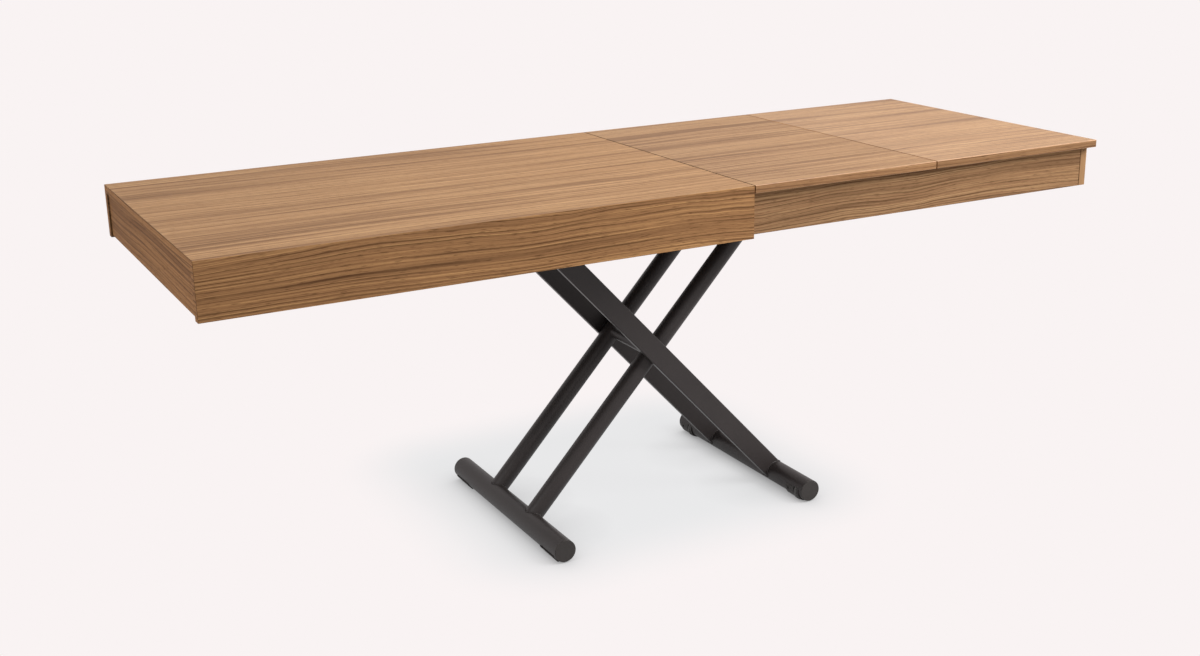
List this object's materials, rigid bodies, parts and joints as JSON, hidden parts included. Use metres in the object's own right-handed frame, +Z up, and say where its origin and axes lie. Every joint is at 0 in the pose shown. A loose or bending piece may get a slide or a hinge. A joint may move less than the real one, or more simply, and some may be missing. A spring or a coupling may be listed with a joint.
{
  "type": "extending dining table",
  "caption": "Walnut extending dining table: a box top and a drawn-out frame carry loose leaves on a steel scissor base that folds down on wheels.",
  "frame": {"origin": "on the floor under the middle of the extended top", "axes": "+X along the table from the box towards the leaves, -Y to the front long side, +Z up"},
  "size_m": [2.013, 0.72, 0.76],
  "materials": {
    "walnut_top": "satin veneer",
    "walnut_side": "satin veneer",
    "batten_wood": "sawn",
    "leg_coat": "fine matt powder coat",
    "carriage_coat": "fine matt powder coat",
    "foot_plastic": "matt",
    "wheel_rubber": "matt",
    "nylon": "matt",
    "zinc_steel": "zinc plated",
    "gas_black": "gloss paint",
    "rod_chrome": "polished",
    "grip_rubber": "matt"
  },
  "bodies": {
    "floor_shoes": {"front_floor_shoe": "foot_plastic", "rear_floor_shoe": "foot_plastic"},
    "tube_leg": {"left_foot_tube": "leg_coat", "left_foot_caps": "foot_plastic", "front_leg_tube": "leg_coat", "rear_leg_tube": "leg_coat", "centre_axle": "zinc_steel", "axle_sleeve": "leg_coat", "roller_shaft": "zinc_steel", "roller_spacers": "zinc_steel"},
    "front_track_roller": {"front_track_roller": "nylon"},
    "rear_track_roller": {"rear_track_roller": "nylon"},
    "bar_leg": {"right_foot_tube": "leg_coat", "right_foot_caps": "foot_plastic", "front_leg_bar": "leg_coat", "rear_leg_bar": "leg_coat", "axle_bushes": "nylon", "pivot_shaft": "zinc_steel", "pivot_sleeve": "leg_coat", "crank_cheeks": "leg_coat", "crank_pin": "zinc_steel", "wheel_inserts": "foot_plastic", "wheel_pins": "zinc_steel"},
    "front_wheel": {"front_wheel": "wheel_rubber"},
    "rear_wheel": {"rear_wheel": "wheel_rubber"},
    "carriage": {"front_carriage_beam": "carriage_coat", "rear_carriage_beam": "carriage_coat", "left_cross_tube": "carriage_coat", "gas_cross_tube": "carriage_coat", "middle_cross_tube": "carriage_coat", "right_cross_tube": "carriage_coat", "pivot_brackets": "carriage_coat", "roller_tracks": "carriage_coat", "guide_uprights": "carriage_coat", "top_guide_blocks": "nylon", "frame_guide_blocks": "nylon", "leaf_rest_pads": "nylon", "gas_cylinder": "gas_black", "gas_bracket": "carriage_coat", "lever_pivot": "zinc_steel"},
    "gas_rod": {"gas_rod": "rod_chrome", "rod_eye": "gas_black"},
    "valve_pin": {"valve_pin": "zinc_steel"},
    "release_lever": {"release_lever": "carriage_coat", "lever_grip": "grip_rubber"},
    "outer_box": {"top_panel": "walnut_top", "front_side_panel": "walnut_side", "rear_side_panel": "walnut_side", "left_end_panel": "walnut_side", "end_batten": "batten_wood", "top_runners": "zinc_steel"},
    "inner_leaf": {"inner_leaf": "walnut_top"},
    "outer_leaf": {"outer_leaf": "walnut_top"},
    "inner_frame": {"front_frame_side": "walnut_side", "rear_frame_side": "walnut_side", "frame_end_panel": "walnut_side", "frame_corner_brackets": "zinc_steel", "frame_runners": "zinc_steel"}
  },
  "joints": [
    {"name": "left_foot_turn", "type": "hinge", "parent": "floor_shoes", "child": "tube_leg", "pos_m": [-0.29, 0, 0.026], "axis": [0, 1, 0], "range_deg": [0, 35]},
    {"name": "scissor_fold", "type": "hinge", "parent": "tube_leg", "child": "bar_leg", "pos_m": [0.0155, 0, 0.3565], "axis": [0, -1, 0], "range_deg": [0, 70]},
    {"name": "top_pivot", "type": "hinge", "parent": "bar_leg", "child": "carriage", "pos_m": [-0.29, 0, 0.687], "axis": [0, 1, 0], "range_deg": [0, 35]},
    {"name": "gas_rod_slide", "type": "slide", "parent": "carriage", "child": "gas_rod", "axis": [1, 0, 0], "range_m": [0, 0.0217]},
    {"name": "release_lever_turn", "type": "hinge", "parent": "carriage", "child": "release_lever", "pos_m": [0.00267, -0.07, 0.65183], "axis": [0, 0, 1], "range_deg": [0, 2.2], "stiffness_Nm_per_rad": 4},
    {"name": "valve_pin_slide", "type": "slide", "parent": "carriage", "child": "valve_pin", "axis": [-1, 0, 0], "range_m": [0, 0.003]},
    {"name": "outer_box_slide", "type": "slide", "parent": "carriage", "child": "outer_box", "axis": [1, 0, 0], "range_m": [0, 0.606]},
    {"name": "inner_frame_slide", "type": "slide", "parent": "carriage", "child": "inner_frame", "axis": [-1, 0, 0], "range_m": [0, 0.3]},
    {"name": "inner_leaf_lift", "type": "slide", "parent": "outer_box", "child": "inner_leaf", "axis": [0, 0, 1], "range_m": [0, 0.3]},
    {"name": "outer_leaf_lift", "type": "slide", "parent": "outer_box", "child": "outer_leaf", "axis": [0, 0, 1], "range_m": [0, 0.3]},
    {"name": "front_wheel_spin", "type": "hinge", "parent": "bar_leg", "child": "front_wheel", "pos_m": [0.31464, -0.2375, 0.01964], "axis": [0, 1, 0], "continuous": true},
    {"name": "rear_wheel_spin", "type": "hinge", "parent": "bar_leg", "child": "rear_wheel", "pos_m": [0.31464, 0.213, 0.01964], "axis": [0, 1, 0], "continuous": true},
    {"name": "front_roller_spin", "type": "hinge", "parent": "tube_leg", "child": "front_track_roller", "pos_m": [0.321, -0.1235, 0.687], "axis": [0, 1, 0], "continuous": true},
    {"name": "rear_roller_spin", "type": "hinge", "parent": "tube_leg", "child": "rear_track_roller", "pos_m": [0.321, 0.1235, 0.687], "axis": [0, 1, 0], "continuous": true}
  ],
  "couplings": [
    {"joint": "left_foot_turn", "follows": "scissor_fold", "ratio": 0.5},
    {"joint": "top_pivot", "follows": "scissor_fold", "ratio": 0.5},
    {"joint": "gas_rod_slide", "follows": "scissor_fold", "m_per_rad": 0.017721},
    {"joint": "valve_pin_slide", "follows": "release_lever_turn", "m_per_rad": 0.07}
  ]
}
